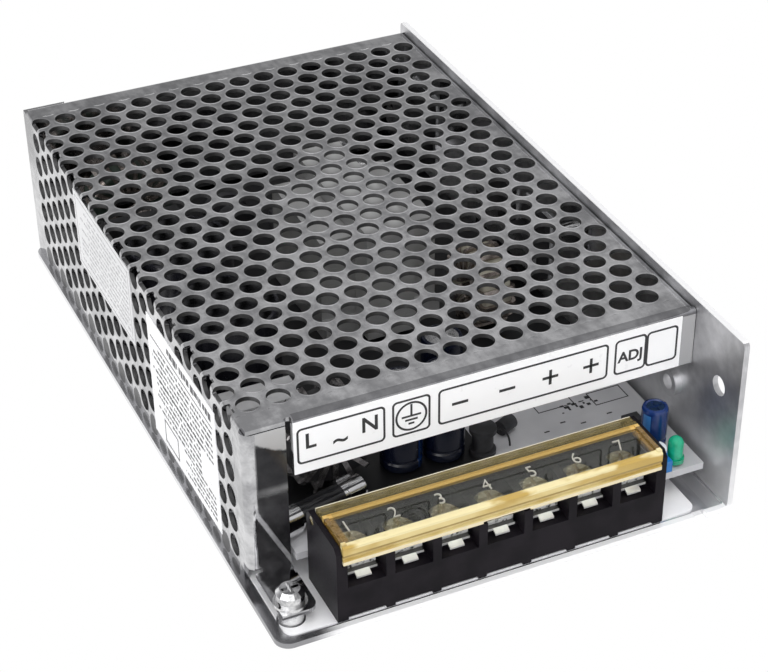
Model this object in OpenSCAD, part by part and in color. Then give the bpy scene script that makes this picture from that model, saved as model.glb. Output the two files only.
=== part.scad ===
// Mesh case switching power supply: an L-shaped chassis whose tall side is the heat-sink wall, a folded
// perforated cover, a seven-pole terminal block with a flip lid, and the parts on the circuit board.
// Millimetres. X runs across the case, Y from the terminals at the front (-Y) to the back, Z up.
// The origin is at the middle of the underside.

/* [Case] */
// Width of the case across the base
case_w = 97.6; // [97:0.1:100]
// Length of the case from front to back
case_l = 154.4; // [153:0.1:157]
// Height of the heat-sink wall above the underside
wall_h = 40.4; // [40:0.1:44]
// Thickness of the base and wall sheet
base_t = 1.2; // [1:0.1:1.5]

/* [Perforated cover] */
// Height of the cover's top above the underside
cover_h = 38.5; // [38:0.5:40]
// Thickness of the cover sheet
cover_t = 0.9; // [0.8:0.1:1.1]
// How far the base shows beyond the cover's left side
base_ledge = 1.1; // [0.8:0.1:2]
// Distance from the case's front to the cover's front lip
lip_setback = 17; // [16:0.1:18]
// Height of the lower edge of the front lip
lip_bottom = 25.7; // [24:0.1:28]
// Diameter of the round holes
hole_d = 4.6; // [4:0.1:5]
// Distance between hole centres along a row
hole_pitch = 6.03; // [5.9:0.01:6.2]
// Number of rows of holes from front to back
hole_rows = 24; // [12:1:24]

/* [Terminal block] */
// Number of poles
poles = 7; // [5:1:7]
// Distance between poles
pole_pitch = 9.6; // [9.5:0.01:9.7]
// Where the middle of the block is across the case
block_x = -1.7; // [-2:0.1:-1]
// Outer diameter of the terminal screws' heads
head_d = 6.4; // [5.5:0.1:6.6]
// How far a terminal screw rises in one turn
thread_pitch = 0.7; // [0.5:0.1:0.8]

/* [Circuit board] */
// Height of the board's top above the underside
board_top = 7.6; // [7.2:0.1:8]
// Thickness of the board
board_t = 1.6; // [1.2:0.1:1.6]

/* [Hidden] */
$fn = 32;
half_w = case_w / 2;
half_l = case_l / 2;
front = -half_l;
back = half_l;
fine = 0.01;

// chassis
wall_in = half_w - base_t;
fold_r = 2.2;
corner_r = 3;
wall_corner_r = 1.2;
mount_x = 32;
mount_y = 58;
mount_hole_r = 1.75;
side_hole_r = 2.15;
side_hole_y = front + 7.1;
side_hole_z = 26.3;
nut_y = [front + 22.8, back - 24.7];
nut_z = 17.7;
nut_r = 1.65;
cover_screw_y = [-12, 46];
cover_screw_z = 31;

// cover
cover_left = -half_w + base_ledge;
cover_right = wall_in - 0.1;
cover_front = front + lip_setback;
cover_back = back - 1.5;
flange_w = 9.7;
bend_r = 1;
post_bend = 1.8;
post_right = cover_left + 8.4;
lip_left = post_right + 1.3;
foot_z = 4.5;
foot_l = 13.9;
foot_x = [cover_left + 0.9, post_right - 0.2];
hole_r = hole_d / 2;
row_pitch = hole_pitch * sqrt(3) / 2;
hole_columns = 23;
first_hole_x = wall_in - 3.6;
first_row_y = cover_front + 7.9;
foot_screw = [-43.9, front + 6.4];

// insulating sheet and board
sheet_t = 0.3;
sheet_top = base_t + sheet_t;
board_under = board_top - board_t;
board_x = [-45.8, 46.2];
board_back = 73;
board_front = front + 16.2;
ear_front = front + 7.6;
board_screws = [[-42, -48], [42.4, -30], [-41.8, 69], [34, 69]];
standoff_r = 2.6;

// terminal block, with the heights of its steps
block_w = poles * pole_pitch + 2.6;
block_l = block_x - block_w / 2;
block_r = block_x + block_w / 2;
block_f = front + 1.2;
block_b = front + 15.2;
block_z = sheet_top + 0.1;
foot_gap = 0.7;
cell_w = 7.8;
ledge_z = 9.4;
contact_z = 10.2;
contact_t = 0.5;
seat_f = block_f + 2.5;
divider_z = 15.8;
end_z = 18.8;
end_t = 1.1;
screw_y = front + 8.1;
shank_r = 1.7;
plate_t = 0.9;
plate_z = contact_z + contact_t + 0.05;
head_z = plate_z + plate_t + 0.05;
function pole_x(i) = block_x + (i - (poles + 1) / 2) * pole_pitch;

// flip lid
lid_top = 19.3;
lid_t = 1.2;
lid_x = [block_l + end_t + 0.2, block_r - end_t - 0.2];
lid_f = front + 0.9;
lid_b = front + 13.9;
hinge_y = front + 12.9;
hinge_z = 17.5;
hinge_pin_r = 0.95;
hinge_clear = 0.05;

// parts on the board: middle of each on the plan, and sizes
fuse_c = [-30.6, -53.4, 11];
fuse_turn = 14;
fuse_l = 20;
clip_reach = 7.5;
fuse_r = 2.6;
choke_c = [-23.8, -41.9, board_top + 10.8];
bulk_x = -33.5;
bulk_y = [-14, 12];
bulk_r = 11;
bulk_h = 27.5;
out_caps = [[-8.8, -44], [0.4, -44.5], [5, -34]];
out_cap_r = 4.3;
out_cap_h = 21;
trim_cap = [39.6, front + 16.6];
trim_cap_h = 10.3;
trim_cap_r = 2.7;
led_c = [40.9, front + 10.1];
trimmer_c = [36.3, front + 10.6];
former_c = [8, 17];
inductor_c = [29, -4, board_top + 9.5];
rear_choke_c = [-30, 60, board_top + 10.85];
bridge_y = 36;
bridge_leads = [-41.5, -36, -30.5, -25];
line_cap_c = [-35.6, -33.6];
line_cap_lead = 7.5;
drum_choke = [7.7, -47.5];
bead_c = [15.1, -43.3];
// each package on the wall: its middle along Y, its width and its height
rectifiers = [[4, 11, 19], [20, 11, 19]];
transistor = [64, 15, 21];
package_z = board_top + 4;
pad_edge = 0.6;

pole_list = [for (i = [1:poles]) i];

// ---------- shared shapes ----------

// a block between two corners
module block(x, y, z) {
    translate([x[0], y[0], z[0]]) cube([x[1] - x[0], y[1] - y[0], z[1] - z[0]]);
}

// flat outline with four round corners
module round_rect(x, y, r) {
    translate([x[0] + r, y[0]]) square([x[1] - x[0] - 2 * r, y[1] - y[0]]);
    translate([x[0], y[0] + r]) square([x[1] - x[0], y[1] - y[0] - 2 * r]);
    for (cx = [x[0] + r, x[1] - r], cy = [y[0] + r, y[1] - r]) translate([cx, cy]) circle(r = r);
}

// quarter disc in the quadrant that sx and sy give
module quarter(r, sx, sy) {
    intersection() {
        circle(r = r);
        translate([sx > 0 ? 0 : -r, sy > 0 ? 0 : -r]) square(r);
    }
}

// an outline drawn in X and Z, run along Y
module along_y(y) {
    translate([0, y[1], 0]) rotate([90, 0, 0]) linear_extrude(y[1] - y[0]) children();
}

// an outline drawn in Y and Z, run along X
module along_x(x) {
    translate([x[0], 0, 0]) rotate([90, 0, 90]) linear_extrude(x[1] - x[0]) children();
}

// a round bar or hole along X
module rod_x(x, y, z, r) {
    translate([x[0], y, z]) rotate([0, 90, 0]) cylinder(h = x[1] - x[0], r = r);
}

// ---------- case ----------

module base_chassis() {
    color([0.66, 0.66, 0.68]) difference() {
        union() {
            linear_extrude(base_t) difference() {
                translate([-half_w, front]) square([case_w - fold_r, case_l]);
                for (sy = [-1, 1]) translate([-half_w, sy * half_l]) difference() {
                    translate([-fine, sy > 0 ? -corner_r : -fine]) square(corner_r + fine);
                    translate([corner_r, -sy * corner_r]) circle(r = corner_r);
                }
            }
            along_y([front, back]) difference() {
                union() {
                    translate([half_w - base_t, fold_r]) square([base_t, wall_h - fold_r]);
                    translate([half_w - fold_r, fold_r]) quarter(fold_r, 1, -1);
                }
                translate([half_w - fold_r, fold_r]) circle(r = fold_r - base_t);
            }
        }
        // round upper corners of the wall
        for (sy = [-1, 1]) along_x([wall_in - 1, half_w + 1])
            translate([sy * half_l, wall_h]) difference() {
                translate([sy > 0 ? -wall_corner_r : -fine, -wall_corner_r]) square(wall_corner_r + fine);
                translate([-sy * wall_corner_r, -wall_corner_r]) circle(r = wall_corner_r);
            }
        // relief beside the fold
        block([half_w - 8.7, half_w - 6], [front - 1, front + 1.4], [-1, base_t + 1]);
        for (x = [-mount_x, mount_x], y = [-mount_y, mount_y])
            translate([x, y, -1]) cylinder(h = base_t + 2, r = mount_hole_r);
        rod_x([wall_in - 1, half_w + 1], side_hole_y, side_hole_z, side_hole_r);
        for (y = nut_y) rod_x([wall_in - 1, half_w + 1], y, nut_z, nut_r);
        for (y = cover_screw_y) {
            rod_x([wall_in - 1, half_w + 1], y, cover_screw_z, 1.6);
            translate([half_w - 1.3, y, cover_screw_z]) rotate([0, 90, 0])
                cylinder(h = 1.4, r1 = 1.6, r2 = 3);
        }
    }
}

// threaded inserts pressed into the wall from inside
module side_clinch_nuts() {
    color([0.8, 0.8, 0.8]) for (y = nut_y) difference() {
        rod_x([wall_in - 1.5, wall_in], y, nut_z, 3.1);
        rod_x([wall_in - 2, wall_in + 1], y, nut_z, nut_r);
    }
}

// one upright hole of the top's pattern, deep enough to break the fold
module top_hole(x, y) {
    translate([x, y, cover_h - cover_t - 0.25]) cylinder(h = cover_t + 1, r = hole_r);
}

module cover_holes() {
    for (row = [0:hole_rows - 1]) {
        y = first_row_y + row * row_pitch;
        x0 = first_hole_x - (row % 2 == 0 ? hole_pitch / 2 : 0);
        for (i = [0:hole_columns - 1]) {
            x = x0 - i * hole_pitch;
            if (x > cover_left) top_hole(x, y);
            // the same pattern carried on round the fold and down the left side
            drop = cover_left - x;
            if (drop > -hole_r * 0.6 && drop < cover_h - base_t - hole_r - 0.6)
                rod_x([cover_left - 1, cover_left + cover_t + 0.35], y, cover_h - drop, hole_r);
        }
    }
}

// the cover is one sheet: top, left side, back, front lip, front post with its foot, two side tabs
module mesh_cover() {
    top = [cover_h - cover_t, cover_h];
    left = [cover_left, cover_left + cover_t];
    fold_z = cover_h - bend_r;
    color([0.78, 0.78, 0.79]) difference() {
        union() {
            // top and left side in one fold
            along_y([cover_front + post_bend, cover_back - bend_r]) {
                translate([cover_left + bend_r, top[0]])
                    square([cover_right - bend_r - cover_left - bend_r, cover_t]);
                translate([cover_left, base_t]) square([cover_t, fold_z - base_t]);
                translate([cover_left + bend_r, fold_z]) quarter(bend_r, -1, 1);
            }
            block([cover_left + 0.6, lip_left], [cover_front, cover_front + post_bend], top);
            block([lip_left, cover_right - bend_r], [cover_front + bend_r, cover_front + post_bend], top);
            // front lip
            along_x([lip_left, cover_right]) {
                translate([cover_front, lip_bottom]) square([cover_t, fold_z - lip_bottom]);
                translate([cover_front + bend_r, fold_z]) quarter(bend_r, -1, 1);
            }
            // back
            along_x([cover_left + 0.6, cover_right]) {
                translate([cover_back - cover_t, base_t]) square([cover_t, fold_z - base_t]);
                translate([cover_back - bend_r, fold_z]) quarter(bend_r, 1, 1);
            }
            // the left side's flange, folded round behind the back
            along_x([cover_left, cover_left + flange_w])
                translate([cover_back - bend_r, base_t]) square([cover_t + bend_r, cover_h - base_t - 0.5]);
            // front post, bent round from the left side
            translate([0, 0, foot_z + 0.5]) linear_extrude(top[0] - 0.2 - foot_z - 0.5) {
                translate([cover_left + post_bend, cover_front])
                    square([post_right - cover_left - post_bend, cover_t]);
                translate([cover_left + post_bend, cover_front + post_bend]) difference() {
                    quarter(post_bend, -1, -1);
                    circle(r = post_bend - cover_t);
                }
            }
            // its foot, folded forward over the base
            block(foot_x, [cover_front - 0.6, cover_front + cover_t], [foot_z, foot_z + cover_t]);
            translate([0, 0, foot_z]) linear_extrude(cover_t) difference() {
                translate([foot_x[0], cover_front - foot_l]) square([foot_x[1] - foot_x[0], foot_l]);
                translate([foot_x[1] - 2, cover_front - foot_l + 2]) difference() {
                    translate([0, -2 - fine]) square(2 + fine);
                    circle(r = 2);
                }
                translate(foot_screw) circle(r = 1.7);
            }
            // right edge fold and its two tabs
            along_y([cover_front + bend_r, cover_back - bend_r])
                translate([cover_right - bend_r, fold_z]) quarter(bend_r, 1, 1);
            for (y = cover_screw_y)
                block([cover_right - cover_t, cover_right], [y - 7, y + 7], [cover_screw_z - 5, fold_z]);
        }
        cover_holes();
        // slot end between post and lip, and reliefs where folds meet
        translate([post_right + 0.65, cover_front + 0.3, top[0] - 1]) cylinder(h = 3, r = 0.75);
        translate([cover_left + flange_w, cover_back + 0.3, cover_h - 1.6]) cylinder(h = 3, r = 0.6);
        block([cover_left - 1, cover_left + 2.4], [cover_front - 0.5, cover_front + 3.4], [0, foot_z + 1.2]);
        for (y = cover_screw_y) rod_x([cover_right - 2, cover_right + 1], y, cover_screw_z, 1.3);
        // back panel's lower corner, clear of the chassis fold
        block([cover_right - 1.2, cover_right + 1], [cover_back - 2, cover_back + 1], [0, base_t + 1.2]);
    }
}

module cover_side_screws() {
    color([0.75, 0.75, 0.76]) for (y = cover_screw_y) translate([0, y, cover_screw_z]) difference() {
        union() {
            translate([half_w - 1.25, 0, 0]) rotate([0, 90, 0]) cylinder(h = 1.2, r1 = 1.5, r2 = 2.8);
            rod_x([cover_right - 3.4, half_w - 1.2], 0, 0, 1.25);
        }
        for (a = [0, 90]) rotate([a, 0, 0]) block([half_w - 0.9, half_w + 1], [-1.6, 1.6], [-0.3, 0.3]);
    }
}

module foot_spacer() {
    color([0.72, 0.72, 0.72]) translate([foot_screw[0], foot_screw[1], base_t]) difference() {
        cylinder(h = foot_z - base_t, r = 2.5);
        translate([0, 0, -1]) cylinder(h = foot_z, r = 1.45);
    }
}

module foot_washer() {
    color([0.8, 0.8, 0.8]) translate([foot_screw[0], foot_screw[1], foot_z + cover_t]) difference() {
        cylinder(h = 0.6, r = 3.3);
        translate([0, 0, -1]) cylinder(h = 3, r = 1.6);
    }
}

// split lock washer, its two ends a little apart
module foot_lock_washer() {
    color([0.74, 0.74, 0.74]) translate([foot_screw[0], foot_screw[1], foot_z + cover_t + 0.6])
        difference() {
            cylinder(h = 0.8, r = 2.75);
            translate([0, 0, -1]) cylinder(h = 3, r = 1.6);
            rotate([0, 0, 205]) rotate([25, 0, 0]) translate([1, -0.25, -2]) cube([3, 0.5, 5]);
        }
}

// pan head with a cross recess, drawn about its own axis with the underside of the head at zero
module cross_pan_head(r, h, recess) {
    difference() {
        union() {
            cylinder(h = h * 0.55, r = r);
            translate([0, 0, h * 0.55]) cylinder(h = h * 0.45, r1 = r, r2 = r * 0.72);
        }
        for (a = [0, 90]) rotate([0, 0, a])
            translate([-recess, -recess * 0.2, h * 0.35]) cube([2 * recess, recess * 0.4, h]);
    }
}

module foot_screw() {
    color([0.82, 0.82, 0.82]) translate([foot_screw[0], foot_screw[1], foot_z + cover_t + 1.4]) {
        cross_pan_head(2.75, 2.1, 1.7);
        translate([0, 0, -4.2]) cylinder(h = 4.21, r = 1.4);
    }
}

// ---------- insulating sheet and circuit board ----------

// every lead that goes through the board: where it is and its radius
lead_clear = 0.12;
function can_leads(c, r) = [for (sx = [-1, 1]) [c[0] + sx * 0.45 * r, c[1], 0.3]];
function tab_leads(y) = [for (dy = [-2.54, 0, 2.54]) [wall_in - 2.7, y + dy, 0.5]];
function ring_leads(c, dx, dy, r) = [for (sx = [-1, 1], sy = [-1, 1]) [c[0] + sx * dx, c[1] + sy * dy, r]];
leads = concat(
    [for (i = pole_list) [pole_x(i), board_front + 1.8, 0.78]],
    can_leads(trim_cap, trim_cap_r),
    [for (c = out_caps) each can_leads(c, out_cap_r)],
    [for (y = bulk_y) each can_leads([bulk_x, y], bulk_r)],
    [for (sx = [-1, 1]) [led_c[0] + sx * 0.9, led_c[1], 0.25]],
    [for (sx = [-1, 1]) [fuse_c[0] + sx * clip_reach * cos(fuse_turn),
                         fuse_c[1] + sx * clip_reach * sin(fuse_turn), 0.5]],
    [for (x = bridge_leads) [x, bridge_y + 1.8, 0.65]],
    [for (p = concat(rectifiers, [transistor])) each tab_leads(p[0])],
    [for (sx = [-1, 1]) [line_cap_c[0] + sx * line_cap_lead, line_cap_c[1], 0.4]],
    [for (sx = [-1, 1], k = [-2:2]) [former_c[0] + sx * 9.5, former_c[1] + k * 6, 0.4]],
    ring_leads(choke_c, 4.2, 3.75, 0.55), ring_leads(rear_choke_c, 4.6, 4.05, 0.45),
    ring_leads(inductor_c, 3.82, 3.2, 0.42));

module insulating_sheet() {
    color([0.9, 0.9, 0.92]) translate([0, 0, base_t]) linear_extrude(sheet_t) difference() {
        round_rect([cover_left + cover_t + 0.2, half_w - 7.3], [front + 1.8, back - 3.7], 2);
        translate(foot_screw) circle(r = 2.8);
        for (p = board_screws) translate(p) circle(r = standoff_r + 0.3);
        for (x = [-mount_x, mount_x], y = [-mount_y, mount_y]) translate([x, y]) circle(r = mount_hole_r + 1);
    }
}

module circuit_board() {
    color([0.8, 0.81, 0.82]) translate([0, 0, board_under]) linear_extrude(board_t) difference() {
        union() {
            translate([board_x[0], board_front]) square([board_x[1] - board_x[0], board_back - board_front]);
            translate([block_r + 0.4, ear_front])
                square([board_x[1] - block_r - 0.4, board_front - ear_front + fine]);
        }
        // clear of the cover's post
        translate([board_x[0] - 1, board_front - 1]) square([8.3, 4.6]);
        for (p = board_screws) translate(p) circle(r = 1.6);
        for (p = leads) translate([p[0], p[1]]) circle(r = p[2] + lead_clear);
    }
}

module board_standoffs() {
    color([0.74, 0.74, 0.75]) for (p = board_screws) translate([p[0], p[1], base_t]) difference() {
        cylinder(h = board_under - base_t, r = standoff_r);
        translate([0, 0, 1]) cylinder(h = 9, r = 1.3);
    }
}

module board_screws() {
    color([0.78, 0.78, 0.78]) for (p = board_screws) translate([p[0], p[1], board_top]) {
        cross_pan_head(2.6, 1.9, 1.5);
        translate([0, 0, -4.5]) cylinder(h = 4.51, r = 1.25);
    }
}

// ---------- terminal block ----------

// side view of the moulding between two cells
module divider_outline() {
    polygon([[block_f, block_z + foot_gap], [block_b, block_z + foot_gap], [block_b, divider_z],
             [lid_f + 1.7, divider_z], [lid_f + 1.7, 14.7], [block_f, 14.7]]);
}

// side view of the two end walls, which carry the lid's pivots
module end_outline() {
    polygon([[block_f, block_z], [block_b, block_z], [block_b, end_z - 0.9],
             [block_b - 0.9, end_z], [block_f + 1.2, end_z], [block_f, end_z - 1.2]]);
}

module terminal_block() {
    color([0.1, 0.1, 0.11]) difference() {
        union() {
            along_x([block_l, block_l + end_t]) end_outline();
            along_x([block_r - end_t, block_r]) end_outline();
            along_x([block_l + end_t - fine, block_r - end_t + fine]) divider_outline();
            // feet between the poles
            for (i = [0:poles]) {
                x = block_x + (i - poles / 2) * pole_pitch;
                for (y = [block_f, block_b - 2])
                    block([x - 0.9, x + 0.9], [y, y + 2], [block_z, block_z + foot_gap + fine]);
            }
        }
        for (i = pole_list) {
            x = [pole_x(i) - cell_w / 2, pole_x(i) + cell_w / 2];
            // the cell, its wire trough and the pocket under the contact
            block(x, [block_f - 1, block_b - 1.6], [contact_z, 30]);
            block(x, [block_f - 1, seat_f + 0.1], [ledge_z, contact_z + 1]);
            translate([pole_x(i), screw_y, 4]) cylinder(h = 10, r = 2.2);
            // way out for the contact's tail
            block([pole_x(i) - 1.6, pole_x(i) + 1.6], [block_b - 3, block_b + 1],
                  [contact_z, contact_z + contact_t + 0.1]);
        }
        rod_x([block_l - 1, block_r + 1], hinge_y, hinge_z, hinge_pin_r + hinge_clear);
        // room for the lid's rear edge to swing down
        block([block_l + end_t, block_r - end_t], [block_b - 4.6, block_b + 1], [15.4, 30]);
    }
}

// contact strips: flat seat, tongue sloping down in front, tail bent down to the board
module terminal_contacts() {
    seat = [contact_z, contact_z + contact_t];
    color([0.86, 0.86, 0.87]) for (i = pole_list) translate([pole_x(i), 0, 0]) difference() {
        union() {
            block([-3.15, 3.15], [seat_f, block_b - 2.4], seat);
            along_x([-1.5, 1.5]) polygon([[seat_f + fine, seat[0]], [seat_f + fine, seat[1] - 0.1],
                [seat_f - 1.1, seat[1] - 0.7], [seat_f - 1.1, seat[1] - 1.05]]);
            block([-1.4, 1.4], [block_b - 2.5, board_front + 2.1], seat);
            block([-0.7, 0.7], [board_front + 1.5, board_front + 2.1], [board_under - 1.2, seat[1]]);
        }
        translate([0, screw_y, 5]) cylinder(h = 10, r = shank_r + 0.06);
    }
}

module clamp_plate(i) {
    color([0.88, 0.88, 0.88]) translate([pole_x(i), screw_y, plate_z]) difference() {
        union() {
            block([-3.3, 3.3], [-3.3, 3.3], [0, plate_t]);
            // upturned sides that keep the plate square in its cell
            for (x = [-3.6, 3.3]) block([x, x + 0.3 + fine], [-2.4, 2.4], [0, plate_t + 0.5]);
        }
        translate([0, 0, -1]) cylinder(h = 4, r = shank_r + 0.06);
        // ridges that grip the wire
        for (y = [-2.2, 2.2]) translate([-4, y - 0.25, -fine]) cube([8, 0.5, 0.2]);
    }
}

module terminal_screw(i) {
    color([0.8, 0.62, 0.3]) translate([pole_x(i), screw_y, head_z]) {
        difference() {
            union() {
                cylinder(h = 1.5, r = head_d / 2);
                translate([0, 0, 1.5]) cylinder(h = 0.8, r1 = head_d / 2, r2 = head_d / 2 - 0.9);
            }
            translate([-4, -0.45, 1.2]) cube([8, 0.9, 2]);
            translate([-0.45, -2, 1]) cube([0.9, 4, 2]);
        }
        translate([0, 0, -6.4]) cylinder(h = 6.41, r = shank_r);
    }
}

// clear flip lid: panel, grooved front wall, end walls and two pivots
module terminal_lid() {
    under = lid_top - lid_t;
    color([0.95, 0.75, 0.2, 0.6]) difference() {
        union() {
            block(lid_x, [lid_f + 0.4, lid_b], [under, lid_top]);
            along_x(lid_x) polygon([[lid_f, 15.1], [lid_f + 1.3, 15.1], [lid_f + 1.3, lid_top],
                [lid_f + 0.3, lid_top], [lid_f, lid_top - 0.3], [lid_f, 17], [lid_f + 0.35, 16.8],
                [lid_f + 0.35, 16.3], [lid_f, 16.1]]);
            // ribs that frame the numbers
            block([lid_x[0], lid_x[1]], [lid_b - 3.2, lid_b - 2.3], [lid_top - fine, lid_top + 0.35]);
            for (x = [lid_x[0], lid_x[1] - 0.9])
                block([x, x + 0.9], [lid_f + 0.4, lid_b - 2.3], [lid_top - fine, lid_top + 0.35]);
            for (x = [lid_x[0], lid_x[1] - 0.9]) along_x([x, x + 0.9]) {
                polygon([[lid_f + 0.8, 16.1], [hinge_y - 1.5, 16.6], [hinge_y - 0.4, hinge_z - 1.1],
                         [hinge_y + 0.3, under + 0.1], [lid_f + 0.8, under + 0.1]]);
                translate([hinge_y, hinge_z]) circle(r = 1.15);
            }
            rod_x([block_l + 0.15, lid_x[0] + 0.5], hinge_y, hinge_z, hinge_pin_r);
            rod_x([lid_x[1] - 0.5, block_r - 0.15], hinge_y, hinge_z, hinge_pin_r);
        }
        // finger notch under the front edge
        block([block_x - 5, block_x + 5], [lid_f - 1, lid_f + 0.5], [15, 15.6]);
    }
}

// ---------- parts on the board ----------

module status_led() {
    color([0.05, 0.5, 0.35]) translate([led_c[0], led_c[1], board_top]) {
        cylinder(h = 0.6, r = 1.2);
        translate([0, 0, 0.6]) cylinder(h = 1, r = 1.9);
        translate([0, 0, 1.6]) cylinder(h = 3.2, r = 1.6);
        translate([0, 0, 4.8]) sphere(r = 1.6);
        for (x = [-0.9, 0.9]) translate([x, 0, -board_t - 1.2]) cylinder(h = board_t + 1.4, r = 0.25);
    }
}

// trimmer: square base, dished adjuster with a cross slot on top
module trimmer_base() {
    color([0.1, 0.35, 0.7]) translate([trimmer_c[0], trimmer_c[1], board_top]) difference() {
        union() {
            block([-2.6, 2.6], [-2.9, 2.9], [0, 2.6]);
            translate([0, 0, 2.6]) cylinder(h = 1, r = 2.6);
        }
        translate([0, 0, 1.6]) cylinder(h = 4, r = 1.85);
    }
}

module trimmer_rotor() {
    color([0.92, 0.93, 0.95]) translate([trimmer_c[0], trimmer_c[1], board_top]) difference() {
        union() {
            translate([0, 0, 1.65]) cylinder(h = 2.3, r = 1.8);
            translate([0, 0, 3.7]) cylinder(h = 1.1, r = 2.4);
        }
        for (a = [0, 90]) rotate([0, 0, a]) translate([-1.5, -0.35, 4]) cube([3, 0.7, 3]);
        rotate([0, 0, 45]) translate([1.9, -0.4, 4.2]) cube([2, 0.8, 2]);
    }
}

// radial electrolytic can with its rolled shoulder, groove and scored top
module can_capacitor(c, r, h) {
    groove = min(0.35, r * 0.06);
    translate([c[0], c[1], board_top]) difference() {
        union() {
            rotate_extrude() polygon([[0, 0.3], [r - 0.4, 0.3], [r, 0.8], [r, 2.2], [r - groove, 2.6],
                [r - groove, 3], [r, 3.4], [r, h - 0.7], [r - 0.2, h - 0.2], [r - 0.7, h],
                [r - 0.9, h - 0.25], [0, h - 0.25]]);
            for (x = [-0.45 * r, 0.45 * r])
                translate([x, 0, -board_t - 1]) cylinder(h = board_t + 1.5, r = 0.3);
        }
        for (a = [0, 90]) rotate([0, 0, a])
            translate([-r * 0.55, -0.15, h - 0.45]) cube([r * 1.1, 0.3, 1]);
    }
}

module trimmer_capacitor() {
    color([0.1, 0.2, 0.5]) can_capacitor(trim_cap, trim_cap_r, trim_cap_h);
}

module output_capacitor(i) {
    color([0.08, 0.12, 0.35]) can_capacitor(out_caps[i - 1], out_cap_r, out_cap_h);
}

module bulk_capacitor(i) {
    color([0.1, 0.1, 0.12]) can_capacitor([bulk_x, bulk_y[i - 1]], bulk_r, bulk_h);
}

// places the fuse's parts, drawn along X about its middle on the board
module at_fuse() {
    translate([fuse_c[0], fuse_c[1], 0]) rotate([0, 0, fuse_turn]) children();
}

module fuse_tube() {
    color([0.85, 0.9, 0.9, 0.5]) at_fuse()
        rod_x([5 - fuse_l / 2, fuse_l / 2 - 5], 0, fuse_c[2], fuse_r - 0.1);
}

module fuse_caps() {
    color([0.85, 0.85, 0.86]) at_fuse() for (x = [-fuse_l / 2, fuse_l / 2 - 5])
        rod_x([x, x + 5], 0, fuse_c[2], fuse_r);
}

// spring clips: a base, two curved cheeks with flared lips, and a pin
module fuse_clips() {
    color([0.82, 0.82, 0.82]) at_fuse() for (x = [-clip_reach, clip_reach]) {
        along_x([x - 1.7, x + 1.7]) {
            translate([0, fuse_c[2]]) difference() {
                circle(r = fuse_r + 0.55);
                circle(r = fuse_r + 0.02);
                translate([-2, 1.2]) square([4, 4]);
            }
            translate([-1, board_top]) square([2, fuse_c[2] - fuse_r - board_top - 0.3]);
        }
        translate([x, 0, board_under - 1]) cylinder(h = board_t + 1.5, r = 0.5);
    }
}

// ring core lying or standing; its axis is Z before it is turned
module ring_core(ring_r, core_r, half_h) {
    rotate_extrude() translate([ring_r, 0]) round_rect([-core_r, core_r], [-half_h, half_h], 0.8);
}

// separate turns of wire round a ring core, over the arc from a0 to a1
module ring_turns(ring_r, core_r, half_h, wire_r, turns, a0, a1) {
    for (k = [0:turns - 1]) rotate([0, 0, a0 + (a1 - a0) * k / (turns - 1)]) translate([ring_r, 0, 0])
        rotate([90, 0, 0]) translate([0, 0, -wire_r]) linear_extrude(2 * wire_r) difference() {
            round_rect([-core_r - 2 * wire_r, core_r + 2 * wire_r],
                       [-half_h - 2 * wire_r, half_h + 2 * wire_r], 1.3);
            round_rect([-core_r - 0.05, core_r + 0.05], [-half_h - 0.05, half_h + 0.05], 0.6);
        }
}

// the ends of a ring's windings, bent down and through the board
module ring_ends(c, dx, dy, r) {
    for (p = ring_leads(c, dx, dy, r)) translate([p[0], p[1], board_under - 1])
        cylinder(h = board_t + 2.6, r = p[2]);
}

module line_choke_core() {
    color([0.12, 0.12, 0.13]) translate(choke_c) rotate([90, 0, 0]) ring_core(7, 2.6, 3.2);
}

module line_choke_winding() {
    color([0.35, 0.3, 0.28]) translate(choke_c) rotate([90, 0, 0])
        for (a = [25, 205]) ring_turns(7, 2.6, 3.2, 0.55, 7, a, a + 130);
    color([0.35, 0.3, 0.28]) ring_ends(choke_c, 4.2, 3.75, 0.55);
}

module inductor_core() {
    color([0.75, 0.74, 0.6]) translate(inductor_c) rotate([0, 90, 0]) ring_core(6.2, 2.4, 3.4);
}

module inductor_winding() {
    color([0.72, 0.45, 0.25]) translate(inductor_c) rotate([0, 90, 0])
        ring_turns(6.2, 2.4, 3.4, 0.42, 15, 12, 348);
    color([0.72, 0.45, 0.25]) ring_ends(inductor_c, 3.82, 3.2, 0.42);
}

module rear_choke_core() {
    color([0.2, 0.3, 0.22]) translate(rear_choke_c) rotate([90, 0, 0]) ring_core(7.4, 2.5, 3.6);
}

module rear_choke_winding() {
    color([0.7, 0.45, 0.28]) translate(rear_choke_c) rotate([90, 0, 0])
        for (a = [20, 200]) ring_turns(7.4, 2.5, 3.6, 0.45, 10, a, a + 140);
    color([0.7, 0.45, 0.28]) ring_ends(rear_choke_c, 4.6, 4.05, 0.45);
}

// boxed film capacitor across the supply
module line_capacitor() {
    color([0.85, 0.8, 0.3]) translate([line_cap_c[0], line_cap_c[1], board_top]) {
        difference() {
            block([-9, 9], [-3.6, 3.6], [0, 18]);
            // raised feet along the two long edges
            block([-10, 10], [-2.8, 2.8], [-1, 0.6]);
        }
        for (x = [-line_cap_lead, line_cap_lead]) translate([x, 0, -board_t - 1])
            cylinder(h = board_t + 2, r = 0.4);
    }
}

module bridge_rectifier() {
    color([0.12, 0.12, 0.13]) {
        translate([0, 0, board_top + 3]) along_y([bridge_y, bridge_y + 3.6])
            polygon([[-44, 0], [-22, 0], [-22, 13.5], [-25, 16.5], [-44, 16.5]]);
        for (x = bridge_leads)
            block([x - 0.5, x + 0.5], [bridge_y + 1.4, bridge_y + 2.2], [board_under - 1, board_top + 3.2]);
    }
}

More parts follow.
